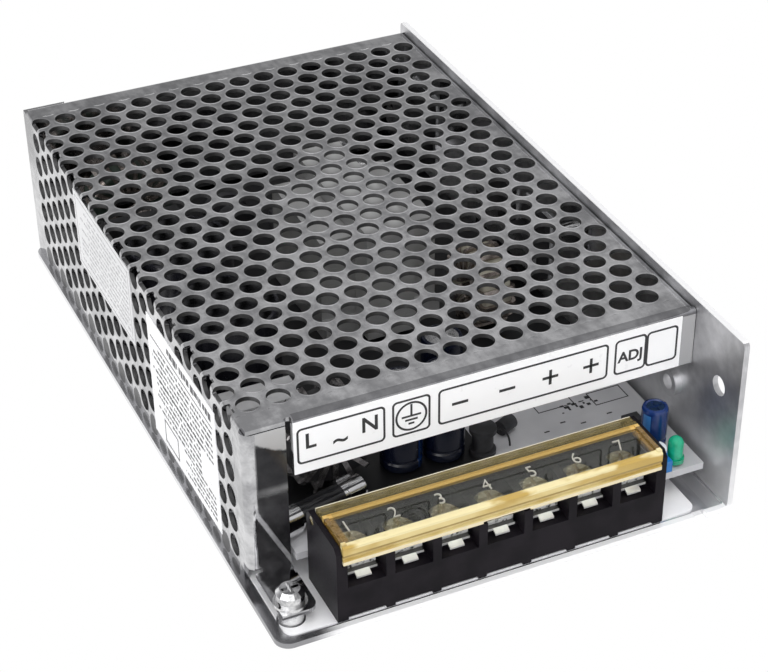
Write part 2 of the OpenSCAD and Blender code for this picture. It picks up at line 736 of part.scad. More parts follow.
// ferrite halves joined round the winding
module transformer_core() {
    z0 = board_top + 1.2;
    color([0.2, 0.2, 0.21]) translate([former_c[0], former_c[1], 0]) difference() {
        block([-5.5, 5.5], [-20, 20], [z0, z0 + 26.4]);
        block([-6, 6], [-13.6, 13.6], [z0 + 5, z0 + 21.4]);
    }
}

// taped winding on its bobbin, round the core's middle leg, with the bobbin's pins
module transformer_winding() {
    z0 = board_top + 1.2;
    color([0.88, 0.88, 0.84]) translate([former_c[0], former_c[1], 0]) difference() {
        union() {
            translate([0, 0, z0 + 5.1]) linear_extrude(16.2) round_rect([-13, 13], [-13.5, 13.5], 4);
            for (x = [[-13.5, -5.6], [5.6, 13.5]]) {
                block(x, [-16, 16], [board_top + 0.05, z0 + 3.5]);
                block(x, [-13.5, 13.5], [z0 + 3.4, z0 + 23]);
            }
        }
        block([-5.52, 5.52], [-30, 30], [z0 - 5, z0 + 5.05]);
        block([-5.52, 5.52], [-30, 30], [z0 + 21.35, z0 + 40]);
    }
    color([0.8, 0.8, 0.8]) for (sx = [-1, 1], k = [-2:2])
        translate([former_c[0] + sx * 9.5, former_c[1] + k * 6, board_under - 1])
            cylinder(h = board_t + 1.5, r = 0.4);
}

// a package that stands against the wall: metal tab, body and three leads
module tab_package(p) {
    width = [p[0] - p[1] / 2, p[0] + p[1] / 2];
    block([wall_in - 1.6, wall_in - 0.3], width, [package_z, board_top + p[2]]);
    block([wall_in - 4.9, wall_in - 1.6 + fine], width, [package_z, board_top + p[2] - 5]);
    for (dy = [-2.54, 0, 2.54])
        block([wall_in - 3, wall_in - 2.4], [p[0] + dy - 0.4, p[0] + dy + 0.4],
              [board_under - 1, package_z + 0.1]);
}

module power_transistor() {
    color([0.15, 0.15, 0.16]) tab_package(transistor);
}

module output_rectifiers() {
    color([0.15, 0.15, 0.16]) for (p = rectifiers) tab_package(p);
}

// thermal pads between the packages and the wall
module thermal_pads() {
    color([0.6, 0.62, 0.65]) for (p = concat(rectifiers, [transistor]))
        block([wall_in - 0.3, wall_in], [p[0] - p[1] / 2 - pad_edge, p[0] + p[1] / 2 + pad_edge],
              [package_z - 1, board_top + p[2] + 1]);
}

// spring bars that press the packages to the wall, one across both rectifiers
module clamp_bars() {
    reach = [[rectifiers[0][0] - 8, rectifiers[1][0] + 8, 8], [transistor[0] - 9, transistor[0] + 9, 9]];
    color([0.8, 0.8, 0.8]) for (b = reach)
        block([wall_in - 5.9, wall_in - 4.9], [b[0], b[1]], [board_top + b[2], board_top + b[2] + 4]);
}

// resistors, discs and small packages
module small_parts() {
    color([0.15, 0.2, 0.45]) for (p = [[-8, 50], [-8, 57]]) translate([p[0], p[1], board_top + 5])
        rotate([90, 0, 0]) cylinder(h = 3, r = 5);
    color([0.12, 0.12, 0.12]) {
        block([36.8, 40.4], [-55.4, -52.6], [board_top, board_top + 3.2]);
        // small choke on a drum core
        translate([drum_choke[0], drum_choke[1], board_top]) rotate_extrude()
            polygon([[0, 0], [2.8, 0], [2.8, 0.9], [2.2, 1.1], [2.2, 5], [2.8, 5.2], [2.8, 6.2], [0, 6.2]]);
        block([2, 11], [46, 53], [board_top, board_top + 4]);
        // ferrite bead on a wire, lying on the board
        translate([bead_c[0], bead_c[1], board_top + 1.6]) rotate([0, 90, 25]) difference() {
            translate([0, 0, -1.9]) cylinder(h = 3.8, r = 1.6);
            translate([0, 0, -3]) cylinder(h = 6, r = 0.5);
        }
    }
    color([0.7, 0.6, 0.45]) for (k = [0:3]) translate([22 + k * 4, -34, board_top + 1.2])
        rotate([-90, 0, 0]) cylinder(h = 7, r = 1.2);
}

// ---------- labels ----------

module front_label() {
    color([0.95, 0.95, 0.96]) block([lip_left + 0.1, cover_right - 3.1],
        [cover_front - 0.16, cover_front], [lip_bottom + 0.1, cover_h - 0.9]);
}

module side_labels() {
    color([0.94, 0.94, 0.95]) for (s = [[[-45.6, -7.3], [4.1, 33.2]], [[2.4, 39.5], [18.6, 37]]])
        block([cover_left - 0.16, cover_left], s[0], s[1]);
}

// ---------- nodes ----------

base_chassis();
side_clinch_nuts();
mesh_cover();
cover_side_screws();
foot_spacer();
foot_screw();
foot_lock_washer();
foot_washer();
insulating_sheet();
circuit_board();
board_standoffs();
board_screws();
terminal_block();
terminal_contacts();
terminal_lid();
for (i = pole_list) clamp_plate(i);
for (i = pole_list) terminal_screw(i);
status_led();
trimmer_base();
trimmer_rotor();
trimmer_capacitor();
for (i = [1:3]) output_capacitor(i);
for (i = [1:2]) bulk_capacitor(i);
fuse_tube();
fuse_caps();
fuse_clips();
line_choke_core();
line_choke_winding();
line_capacitor();
bridge_rectifier();
transformer_core();
transformer_winding();
inductor_core();
inductor_winding();
rear_choke_core();
rear_choke_winding();
power_transistor();
output_rectifiers();
thermal_pads();
clamp_bars();
small_parts();
front_label();
side_labels();
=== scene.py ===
# %% [markdown]
# # Mesh case switching power supply
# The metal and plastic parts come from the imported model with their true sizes. This script adds the studio,
# gives every part a finish, and adds the thin things that are printed or moulded on: the terminal legend,
# the figures in the lid, the print on the circuit board and the thin wire beside its drum choke.

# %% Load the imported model
import math
import bpy
from mathutils import Matrix, Vector


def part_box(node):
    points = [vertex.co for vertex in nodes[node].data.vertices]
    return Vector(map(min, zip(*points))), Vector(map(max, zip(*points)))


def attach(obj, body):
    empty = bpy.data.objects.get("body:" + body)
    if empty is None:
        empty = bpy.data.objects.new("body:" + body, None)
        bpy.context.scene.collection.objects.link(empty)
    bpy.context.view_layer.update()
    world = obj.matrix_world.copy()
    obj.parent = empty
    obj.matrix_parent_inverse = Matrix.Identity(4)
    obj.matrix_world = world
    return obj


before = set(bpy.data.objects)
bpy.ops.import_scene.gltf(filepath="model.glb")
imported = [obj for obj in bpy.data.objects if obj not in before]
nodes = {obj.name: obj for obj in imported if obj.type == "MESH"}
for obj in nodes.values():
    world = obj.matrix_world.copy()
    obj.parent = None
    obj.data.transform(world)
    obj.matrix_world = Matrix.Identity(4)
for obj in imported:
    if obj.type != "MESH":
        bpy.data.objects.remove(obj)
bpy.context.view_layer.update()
MM = 0.001

# %% [markdown]
# The camera comes first, since it decides which sides need most care. It looks down at the front left
# corner with a long lens, so the far end of the case gets only a little smaller. A lens shift frames the
# view without tilting the camera further, and upright edges keep their slant.

# %% Camera
camera = bpy.data.objects.new("camera", bpy.data.cameras.new("camera"))
bpy.context.collection.objects.link(camera)
camera.location = (-0.14541, -0.34025, 0.25969)
camera.rotation_euler = (math.radians(54.38), 0, math.radians(-25.3))
camera.data.sensor_width = 36
camera.data.lens = 96.37
camera.data.shift_x = -0.0422
camera.data.shift_y = 0.0685
camera.data.clip_start = 0.01
bpy.context.scene.camera = camera
bpy.context.scene.view_settings.view_transform = "Standard"
print("camera", [round(v, 3) for v in camera.location])

# %% [markdown]
# A finish is easier to read as a sum than as a drawing of linked boxes. This small class wraps the output
# of a node, and the operators on it add Math nodes. The reflected forms are there too, so that 1 - mask
# works.

# %% Shader sums
class Socket:
    """The output of a node, with sums that add nodes."""

    def __init__(self, graph, out):
        self.graph = graph
        self.out = out

    def math(self, operation, *values):
        return self.graph.node("ShaderNodeMath", {"operation": operation}, dict(enumerate(values)))

    def __add__(self, other):
        return self.math("ADD", self, other)

    __radd__ = __add__

    def __mul__(self, other):
        return self.math("MULTIPLY", self, other)

    __rmul__ = __mul__

    def __sub__(self, other):
        return self.math("SUBTRACT", self, other)

    def __rsub__(self, other):
        return self.math("SUBTRACT", other, self)

    def __gt__(self, other):
        return self.math("GREATER_THAN", self, other)

    def __lt__(self, other):
        return self.math("LESS_THAN", self, other)

    def absolute(self):
        return self.math("ABSOLUTE", self)

    def root(self):
        return self.math("SQRT", self)

    def sine(self):
        return self.math("SINE", self)

    def highest(self, other):
        return self.math("MAXIMUM", self, other)

    def lowest(self, other):
        return self.math("MINIMUM", self, other)

    def wrapped(self, half):
        """Moved by steps of twice half until it lies between -half and half, which repeats a pattern."""
        return self.math("WRAP", self, half, -half)

    def band(self, low, high):
        """0 below low, 1 above high, and a soft step between."""
        return self.graph.node("ShaderNodeMapRange", {"interpolation_type": "SMOOTHSTEP"},
                               {"Value": self, "From Min": low, "From Max": high})


# %% [markdown]
# Every other node comes from one method, which takes the node's type, its settings and what its sockets
# get. Colours go through a Mix node and directions through Vector Math, because a Math node would turn them
# into one number. A finish is such a set of nodes round a Principled shader.

# %% Nodes and finishes
class Graph:
    """A node tree, and the one method that adds a node to it."""

    def __init__(self, tree):
        self.nodes = tree.nodes
        self.links = tree.links

    def node(self, kind, settings=None, sockets=None, out=0):
        made = self.nodes.new(kind)
        for key, value in (settings or {}).items():
            if key == "stops":
                self.set_stops(made.color_ramp.elements, value)
            else:
                setattr(made, key, value)
        for key, value in (sockets or {}).items():
            self.feed(made.inputs[key], value)
        return Socket(self, made.outputs[out])

    def set_stops(self, elements, stops):
        """The stops of a colour ramp, each a place from 0 to 1 and a colour."""
        while len(elements) < len(stops):
            elements.new(1.0)
        for element, (at, colour) in zip(elements, stops):
            element.position = at
            element.color = (*colour, 1)

    def feed(self, socket, value):
        if isinstance(value, Socket):
            self.links.new(value.out, socket)
        elif socket.type == "RGBA" and len(value) == 3:
            socket.default_value = (*value, 1)
        else:
            socket.default_value = value

    def blend(self, factor, first, second):
        """The first shader where the factor is 0 and the second where it is 1."""
        return self.node("ShaderNodeMixShader", {}, {0: factor, 1: first, 2: second})

    def rays(self, *kinds):
        """1 for these kinds of ray and 0 for all others."""
        seen = self.node("ShaderNodeLightPath", out=kinds[0])
        for kind in kinds[1:]:
            seen = seen.highest(self.node("ShaderNodeLightPath", out=kind))
        return seen


class Finish(Graph):
    """A material with its Principled shader."""

    def __init__(self, name, **settings):
        self.material = bpy.data.materials.new(name)
        self.material.use_nodes = True
        super().__init__(self.material.node_tree)
        self.shader = self.nodes["Principled BSDF"]
        self.set(**settings)
        self.place = self.node("ShaderNodeTexCoord", out="Object")

    def set(self, **settings):
        """Shader sockets by name, with _ for a space."""
        for key, value in settings.items():
            self.feed(self.shader.inputs[key.replace("_", " ")], value)
        return self

    def shaded(self):
        return Socket(self, self.shader.outputs[0])

    def show(self, shader):
        """Makes this shader the one that is seen."""
        self.feed(self.nodes["Material Output"].inputs["Surface"], shader)

    def over(self, factor, **settings):
        """A second Principled shader on top of the first, as far as the factor says."""
        below = self.shaded()
        self.shader = self.nodes.new("ShaderNodeBsdfPrincipled")
        self.set(**settings)
        self.show(self.blend(factor, below, self.shaded()))
        return self

    def scaled(self, x, y, z):
        """The place on the object, in metres, times a scale along each axis."""
        return self.node("ShaderNodeVectorMath", {"operation": "MULTIPLY"}, {0: self.place, 1: (x, y, z)})

    def noise(self, scale, detail=2, stretch=(1, 1, 1), rough=0.5):
        sockets = {"Vector": self.scaled(*stretch), "Scale": scale, "Detail": detail, "Roughness": rough}
        return self.node("ShaderNodeTexNoise", {}, sockets)

    def axes(self):
        """X, Y and Z of the place, in metres."""
        return [self.node("ShaderNodeSeparateXYZ", {}, {0: self.place}, out=axis) for axis in "XYZ"]

    def mix(self, factor, a, b):
        """Colour a where the factor is 0 and colour b where it is 1."""
        return self.node("ShaderNodeMix", {"data_type": "RGBA"}, {0: factor, 6: a, 7: b}, out=2)

    def bump(self, height, strength, distance):
        sockets = {"Height": height, "Strength": strength, "Distance": distance}
        return self.set(Normal=self.node("ShaderNodeBump", {}, sockets))


def wear(finish, *names):
    """Gives CAD nodes or objects this finish."""
    for name in names:
        thing = nodes[name] if isinstance(name, str) else name
        thing.data.materials.clear()
        thing.data.materials.append(finish.material)
    return finish


# %% [markdown]
# The studio's walls are white near the sheet and grow darker towards the ceiling, and polished metal shows
# that. Mirrors see them at full strength, while the light that falls on the object is weaker, at a level
# where colours keep their written value. The camera and clear plastic see plain white.

# %% Sky
SKY_STRENGTH = 0.48
# each stop is a height, from level at 0 to straight up at 1, and a grey with a trace of blue
WALL_STOPS = [(at, (grey, grey, grey * 1.01)) for at, grey in
              ((0.05, 1.0), (0.36, 0.44), (0.47, 0.44), (0.6, 0.60))]
world = bpy.data.worlds.new("studio")
bpy.context.scene.world = world
world.use_nodes = True
studio = Graph(world.node_tree)
direction = studio.node("ShaderNodeTexCoord", out="Generated")
upward = studio.node("ShaderNodeSeparateXYZ", {}, {0: direction}, out="Z")
walls = studio.node("ShaderNodeValToRGB", {"stops": WALL_STOPS}, {"Fac": upward})
weak = studio.node("ShaderNodeBackground", {}, {"Color": walls, "Strength": SKY_STRENGTH})
full = studio.node("ShaderNodeBackground", {}, {"Color": walls, "Strength": 1.0})
plain_white = studio.node("ShaderNodeBackground", {}, {"Color": (1, 1, 1), "Strength": 1.0})
sky = studio.blend(studio.rays("Is Glossy Ray"), weak, full)
sky = studio.blend(studio.rays("Is Camera Ray", "Is Transmission Ray"), sky, plain_white)
studio.feed(studio.nodes["World Output"].inputs["Surface"], sky)
print("sky strength", SKY_STRENGTH)

# %% [markdown]
# The object stands on a white sheet. To the camera, to mirrors and through clear plastic the sheet is plain
# white. To all other light it is matt and a little grey, so the object's shadow falls on it.

# %% Floor
bpy.ops.mesh.primitive_plane_add(size=6, location=(0, 0, -0.4 * MM))
floor = bpy.context.object
floor.name = "floor"
sheet = Finish("white sheet", Base_Color=(0.9, 0.9, 0.9), Roughness=0.9, Specular_IOR_Level=0)
bright = sheet.node("ShaderNodeEmission", {}, {"Color": (1, 1, 1), "Strength": 1.0})
seen = sheet.rays("Is Camera Ray", "Is Glossy Ray", "Is Transmission Ray")
sheet.show(sheet.blend(seen, sheet.shaded(), bright))
wear(sheet, floor)
print("floor at", round(floor.location.z / MM, 1), "mm")

# %% [markdown]
# Three soft lamps, large and far away, give soft shadows. The left one stands low and lights the side with
# the labels, a weaker one in front fills the shadows, and the top one lights the cover. The top one isn't
# seen in mirrors, because metal seen from above would show it as plain white.

# %% Lamps
SOFTBOX = 1.5
AIM = (0, 0, 0.02)


def lamp(name, place, watts, in_mirrors=True):
    light = bpy.data.lights.new(name, "AREA")
    light.size = SOFTBOX
    light.energy = watts
    thing = bpy.data.objects.new(name, light)
    bpy.context.collection.objects.link(thing)
    thing.visible_glossy = in_mirrors
    thing.location = place
    thing.rotation_euler = (Vector(AIM) - Vector(place)).to_track_quat("-Z", "Y").to_euler()
    print(name, watts, "W")


lamp("left softbox", (-1.35, -0.5, 0.55), 16)
lamp("front softbox", (-0.4, -1.3, 0.9), 8)
lamp("top softbox", (0.3, -0.2, 1.5), 19, in_mirrors=False)

# %% [markdown]
# The cover is punched with round holes in rows, and every other row is half a pitch over. Each hole has a
# rolled rim. A mask for it needs the distance to the nearest hole. The holes repeat, so the place is
# wrapped into one repeat of each of the two sets of rows, and the nearer middle counts.

# %% Hole pattern
HOLE_PITCH = 6.03 * MM
ROW_PITCH = HOLE_PITCH * math.sqrt(3) / 2
HOLE_ROWS = 24
HOLE_RADIUS = 2.3 * MM
RIM_WIDTH = 0.45 * MM
WALL_DEPTH = 0.02 * MM
ROW_MARGIN, END_MARGIN = 3.0 * MM, 3.5 * MM
FAR_AWAY = 10 * MM
# the right-hand hole of a full row, and the row nearest the front
LAST_X, FIRST_Y = 44.0 * MM, -52.3 * MM


def hole_distance(x, y):
    """How far a place is from the middle of the nearest hole."""
    reach = []
    for x0, y0 in ((LAST_X - HOLE_PITCH / 2, FIRST_Y), (LAST_X, FIRST_Y + ROW_PITCH)):
        u = (x - x0).wrapped(HOLE_PITCH / 2)
        v = (y - y0).wrapped(ROW_PITCH)
        # a row ends half a pitch past its last hole
        past_end = x > x0 + HOLE_PITCH / 2
        reach.append((u * u + v * v).root() + past_end * FAR_AWAY)
    return reach[0].lowest(reach[1])


print("holes", round(HOLE_PITCH / MM, 2), "mm apart in rows", round(ROW_PITCH / MM, 2), "mm apart")

# %% [markdown]
# Sheet metal isn't one even grey. The rolled sheet has soft cloudy patches where the plating differs, a
# fine grain and small scratches. It is nearly a mirror, but a little wavy, and the waves bend what it
# mirrors. Each of these is a noise at its own size. The base and the cover share all that, and each then
# gets its own marks.

# %% Sheet metal
def sheet_metal(name, dark, light, rough, grain, cloud, waves, marks):
    """Cloudy, grained and slightly wavy sheet. The marks function adds what belongs to one folded piece."""
    metal = Finish(name, Metallic=1.0)
    clouds = metal.noise(95, 5, rough=0.62)
    patches = metal.noise(420, 3)
    lines = metal.noise(900, 2, grain)
    wide = metal.noise(55, 2)
    tone = (clouds - 0.5) * cloud + (patches - 0.5) * 0.5 * cloud + (lines - 0.5) * 0.35 + 0.5
    colour = metal.mix(tone.band(0.2, 0.8), dark, light)
    height = lines * 0.001 + patches * 0.002 + wide * waves
    colour, height, rough = marks(metal, patches, colour, height, rough)
    metal.set(Base_Color=colour)
    metal.set(Roughness=(rough + (clouds - 0.5) * 0.10 + (lines - 0.5) * 0.06).highest(0.04))
    metal.bump(height, 1.0, 1 * MM)
    return metal


# %% [markdown]
# The cover's marks are the rims and walls of the holes, the bend over the label, and the post beside the
# terminals. The rims get a painted highlight and the cut walls of the holes painted shade. The hole pattern
# goes on down the left side past the fold, so there the way down counts as way along. The post was folded a
# few degrees short of square, so it mirrors more of what is beside it. Its upper part gets a painted dark
# reflection of the terminal block, with a paler painted reflection above it. The rear end of the side is
# painted darker, the top a little darker towards the rear as a painted reflection, and the front bend gets a
# painted dark reflection.

# %% Cover
TOP_DEPTH, SIDE_DEPTH = 1.0 * MM, 1.2 * MM
BEND_BACK, BEND_DOWN, BEND_START = 1.7 * MM, 2.6 * MM, 10 * MM
POST_DEPTH, POST_DOWN = 15.5 * MM, 1.2 * MM
POST_EDGE, DARK_REFLECTION_Z, PALE_REFLECTION_Z = (2.1 * MM, 2.6 * MM), (22 * MM, 25 * MM), (35.6 * MM, 36.6 * MM)
REAR_Y, REAR_Z = (65 * MM, 73 * MM), (18 * MM, 28 * MM)


def hole_masks(x, y, z, low, high):
    """The cover's top and its side, and the rims and cut walls of the holes in them."""
    on_top = z > high[2] - TOP_DEPTH
    on_side = (z < high[2] - TOP_DEPTH) * (x < low[0] + SIDE_DEPTH)
    along = x - (high[2] - z) * on_side
    last_row = FIRST_Y + (HOLE_ROWS - 1) * ROW_PITCH
    in_rows = (y > FIRST_Y - ROW_MARGIN) * (y < last_row + ROW_MARGIN)
    punched = in_rows * (along < LAST_X + END_MARGIN) * on_side.highest(on_top)
    distance = hole_distance(along, y)
    # the rim mask carries a painted highlight: the rims are painted lighter where a rolled edge catches the
    # light
    rim = (1 - distance.band(HOLE_RADIUS, HOLE_RADIUS + RIM_WIDTH)) * punched
    # the wall mask carries painted shade: the cut walls inside the holes are painted dark
    wall = (distance < HOLE_RADIUS + WALL_DEPTH) * punched
    return on_top, on_side, rim, wall


def post_masks(patches, x, y, z, low, high):
    """The post, its upper part with a painted dark reflection, and the paler painted reflection above that.
    """
    post = (y < low[1] + POST_DEPTH) * (z < high[2] - POST_DOWN)
    inner = post * x.band(low[0] + POST_EDGE[0], low[0] + POST_EDGE[1]) * z.band(*DARK_REFLECTION_Z)
    slope = z + (x - low[0]) * 0.5 + (patches - 0.5) * 2 * MM
    return post, inner, inner * slope.band(*PALE_REFLECTION_Z)


def cover_marks(metal, patches, colour, height, rough):
    x, y, z = metal.axes()
    low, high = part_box("mesh_cover")
    on_top, on_side, rim, wall = hole_masks(x, y, z, low, high)
    post, inner, pale = post_masks(patches, x, y, z, low, high)
    # painted dark reflection of the terminal block on the post's upper part, leaving the paler painted
    # reflection (pale) above it; the rear end of the side is painted darker as well
    painted_dark = (inner - pale).highest(on_side * y.band(*REAR_Y) * z.band(*REAR_Z) * 0.6)
    # the top is painted a little darker towards the rear as a painted reflection, and the front bend is
    # painted dark as a painted dark reflection
    towards_rear = y.band(-40 * MM, 70 * MM) * on_top
    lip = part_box("front_label")[1][1]
    bend = (y < lip + BEND_BACK) * (z > high[2] - BEND_DOWN) * (x > low[0] + BEND_START)
    for factor, mark in ((rim * patches.band(0.3, 0.7) * 0.22, (0.85, 0.85, 0.86)),
                         (towards_rear * 0.22, (0.10, 0.10, 0.105)),
                         (bend * 0.55, (0.12, 0.12, 0.13)),
                         (wall * 0.8, (0.07, 0.07, 0.07)),
                         (painted_dark * 0.95, (0.012, 0.012, 0.014)),
                         (pale, (0.48, 0.48, 0.49))):
        colour = metal.mix(factor, colour, mark)
    height = height * (1 - post * 0.5) - rim * 0.07 + (z * 50 - x * 65) * post
    metal.set(Metallic=1 - painted_dark * 0.95 - pale * 0.7)
    return colour, height, rough - post * 0.07 + wall * 0.4 + pale * 0.2


wear(sheet_metal("plated perforated sheet", (0.36, 0.36, 0.37), (0.68, 0.68, 0.69), 0.12, (1, 0.25, 1), 1.3,
                 0.12, cover_marks), "mesh_cover")
print("cover done, hole rows", HOLE_ROWS)

# %% [markdown]
# The chassis is satin sheet. Its base is brighter than the wall, the strip before the terminals is matt and
# pale, and the corner under the foot is painted dark as shade. The wall's inner side is painted brighter low
# down as painted light, and its cut top edge is raw and pale.

# %% Chassis
BASE_TOP = 1.5 * MM
CORNER_X, CORNER_Y = (-36 * MM, -43 * MM), (-46 * MM, -60 * MM)
STRIP_X = (-42 * MM, -34 * MM)
WALL_X, WALL_Z = 44 * MM, (2 * MM, 23 * MM)
CUT_EDGE = 0.2 * MM


def chassis_marks(metal, patches, colour, height, rough):
    x, y, z = metal.axes()
    base = z < BASE_TOP
    # painted shade: the corner under the foot is painted dark
    corner = base * x.band(*CORNER_X) * y.band(*CORNER_Y)
    strip = base * (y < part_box("terminal_block")[0][1]) * x.band(*STRIP_X)
    # painted light: the wall's inner side is painted brighter low down
    low_wall = (1 - z.band(*WALL_Z)) * (x > WALL_X)
    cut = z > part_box("base_chassis")[1][2] - CUT_EDGE
    for factor, mark in ((base * 0.6, (0.90, 0.90, 0.92)),
                         (corner * 0.7, (0.14, 0.14, 0.15)),
                         (strip, (0.93, 0.93, 0.94)),
                         (low_wall * 0.7, (0.94, 0.94, 0.95)),
                         (cut, (0.84, 0.84, 0.85))):
        colour = metal.mix(factor, colour, mark)
    metal.set(Metallic=1 - cut.highest(strip) * 0.85 - low_wall * 0.25 * (1 - base))
    return colour, height, rough - base * 0.18


wear(sheet_metal("satin aluminium sheet", (0.50, 0.50, 0.515), (0.74, 0.74, 0.755), 0.42, (6, 0.3, 0.3), 1.0,
                 0.05, chassis_marks), "base_chassis", "side_clinch_nuts")
print("chassis done")

# %% [markdown]
# The small metal parts share one helper, because they differ only in tone and polish. Two of them also
# differ by place. The contacts are bright on the flap in front, and the seat behind it is painted dark as
# shade under the clamp and the lid. The clamp plates are painted dark as shade, with a painted highlight on
# their front edge and a wavy painted highlight line across them.

# %% Bright metals
def bright_metal(name, dark, light, rough, spots=0.08, metallic=1.0, paint=None):
    """Plated or polished metal; paint, where given, chooses the colour from the two tones by place."""
    metal = Finish(name, Metallic=metallic)
    fine = metal.noise(1500, 3)
    wide = metal.noise(300, 2)
    if paint:
        metal.set(Base_Color=paint(metal, dark, light))
    else:
        metal.set(Base_Color=metal.mix((fine * 0.5 + wide * 0.5).band(0.3, 0.7), dark, light))
    metal.set(Roughness=rough + (fine - 0.5) * spots * 2)
    metal.bump(fine, 0.15, 0.02 * MM)
    return metal


FLAP_DEPTH = 1.15 * MM


def contact_paint(metal, dark, light):
    x, y, z = metal.axes()
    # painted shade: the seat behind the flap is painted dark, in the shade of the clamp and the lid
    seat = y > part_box("terminal_contacts")[0][1] + FLAP_DEPTH
    return metal.mix(seat, metal.mix(metal.noise(900, 2), dark, light), (0.10, 0.10, 0.10))


EDGE_HIGHLIGHT = 0.2 * MM
RIDGE_HIGHLIGHT_FROM, RIDGE_HIGHLIGHT_TO, RIDGE_HIGHLIGHT_WAVE = 0.9 * MM, 1.15 * MM, 0.9 * MM


def plate_paint(metal, dark, light):
    # painted shade over the whole plate, with painted highlights on its front edge and on a wavy line across
    # it
    x, y, z = metal.axes()
    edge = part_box("clamp_plate_1")[0][1]
    wavy = y + (metal.noise(400, 2) - 0.5) * RIDGE_HIGHLIGHT_WAVE
    ridge_highlight = (wavy > edge + RIDGE_HIGHLIGHT_FROM) * (wavy < edge + RIDGE_HIGHLIGHT_TO)
    plate_highlight = (y < edge + EDGE_HIGHLIGHT).highest(ridge_highlight) * metal.noise(1100, 1).band(0.3, 0.5)
    plate_shade = metal.mix(metal.noise(1300, 2).band(0.55, 0.7), dark, light)
    return metal.mix(plate_highlight, plate_shade, (0.90, 0.90, 0.90))


POLES = range(1, 8)
wear(bright_metal("bright zinc plate", (0.62, 0.62, 0.62), (0.86, 0.86, 0.86), 0.22),
     "cover_side_screws", "foot_spacer", "foot_washer", "board_standoffs", "board_screws")
wear(bright_metal("polished screw", (0.42, 0.42, 0.43), (0.80, 0.80, 0.80), 0.08), "foot_screw")
wear(bright_metal("spring steel", (0.45, 0.45, 0.46), (0.7, 0.7, 0.7), 0.3), "foot_lock_washer", "clamp_bars")
wear(bright_metal("nickel plate", (0.72, 0.72, 0.73), (0.92, 0.92, 0.92), 0.14), "fuse_caps", "fuse_clips")
wear(bright_metal("tinned contact", (0.76, 0.76, 0.76), (0.92, 0.92, 0.92), 0.2, metallic=0.4,
                  paint=contact_paint), "terminal_contacts")
wear(bright_metal("shaded nickel plate", (0.03, 0.03, 0.03), (0.24, 0.24, 0.24), 0.3, metallic=0.3,
                  paint=plate_paint), *[f"clamp_plate_{i}" for i in POLES])
wear(bright_metal("yellow brass", (0.60, 0.46, 0.30), (1.0, 0.93, 0.80), 0.22, 0.2, 0.45),
     *[f"terminal_screw_{i}" for i in POLES])
print("small metal parts done")

# %% [markdown]
# Plastics differ by their skin. A moulding has a fine even texture and a slight orange peel, a shrink
# sleeve is smooth and glossy, and a film is flat and even. One helper makes them all, with the texture's
# size and depth.

# %% Plastics
def plastic(name, dark, light, rough, texture=2200, depth=0.01 * MM, paint=None, **more):
    """A moulded or drawn plastic skin; paint, where given, chooses the colour from the two tones by place."""
    made = Finish(name, **more)
    fine = made.noise(texture, 3)
    wide = made.noise(180, 3)
    if paint:
        made.set(Base_Color=paint(made, dark, light))
    else:
        made.set(Base_Color=made.mix(wide.band(0.35, 0.65), dark, light))
    made.set(Roughness=rough + (fine - 0.5) * 0.12 + (wide - 0.5) * 0.08)
    made.bump(fine, 0.25, depth)
    return made


def label_paint(film, dark, light):
    # the rear label is a greyer film than the others
    x, y, z = film.axes()
    return film.mix(y > 0, film.mix(film.noise(180, 3), dark, light),
                    film.mix(film.noise(140, 4), (0.62, 0.62, 0.63), (0.78, 0.78, 0.79)))


wear(plastic("black moulding", (0.006, 0.005, 0.007), (0.011, 0.009, 0.012), 0.34, 1800, 0.02 * MM,
             Specular_IOR_Level=0.09), "terminal_block")
wear(plastic("black package", (0.014, 0.014, 0.015), (0.03, 0.03, 0.032), 0.55, 2600, 0.02 * MM),
     "bridge_rectifier", "power_transistor", "output_rectifiers")
wear(plastic("white film", (0.90, 0.90, 0.92), (0.95, 0.95, 0.96), 0.38, 900, 0.008 * MM),
     "insulating_sheet")
wear(plastic("pad rubber", (0.52, 0.53, 0.55), (0.6, 0.6, 0.62), 0.7), "thermal_pads")
wear(plastic("blue trimmer body", (0.01, 0.14, 0.46), (0.02, 0.2, 0.56), 0.32), "trimmer_base")
wear(plastic("white adjuster", (0.78, 0.82, 0.88), (0.86, 0.89, 0.94), 0.35), "trimmer_rotor")
wear(plastic("ferrite", (0.02, 0.02, 0.022), (0.045, 0.045, 0.047), 0.6, 1400, 0.04 * MM),
     "line_choke_core")
wear(plastic("green core lacquer", (0.02, 0.03, 0.025), (0.03, 0.045, 0.035), 0.4), "rear_choke_core")
wear(plastic("yellow core lacquer", (0.36, 0.34, 0.28), (0.46, 0.44, 0.36), 0.4), "inductor_core")
wear(plastic("pale box", (0.5, 0.5, 0.51), (0.62, 0.62, 0.63), 0.35), "line_capacitor")
wear(plastic("dark small parts", (0.02, 0.02, 0.022), (0.05, 0.05, 0.055), 0.4), "small_parts")
wear(plastic("label film", (0.90, 0.90, 0.915), (0.93, 0.93, 0.94), 0.3, 700, 0.005 * MM,
             paint=label_paint), "front_label", "side_labels")
print("plastics done")

# %% [markdown]
# Coil wire is copper under a thin coloured enamel, so it is metal with a glossy coat. The tone changes a
# little along the wire.

# %% Enamelled wire
def enamel(name, dark, light):
    made = Finish(name, Metallic=0.75)
    along = made.noise(700, 2)
    made.set(Base_Color=made.mix(along.band(0.3, 0.7), dark, light), Roughness=0.14 + along * 0.1)
    made.set(Coat_Weight=0.6)
    return made


wear(enamel("copper wire", (0.22, 0.18, 0.16), (0.40, 0.35, 0.32)), "inductor_winding", "rear_choke_winding")
wear(enamel("dark wire", (0.14, 0.13, 0.13), (0.44, 0.42, 0.42)), "line_choke_winding")
print("coils wound in enamelled wire")

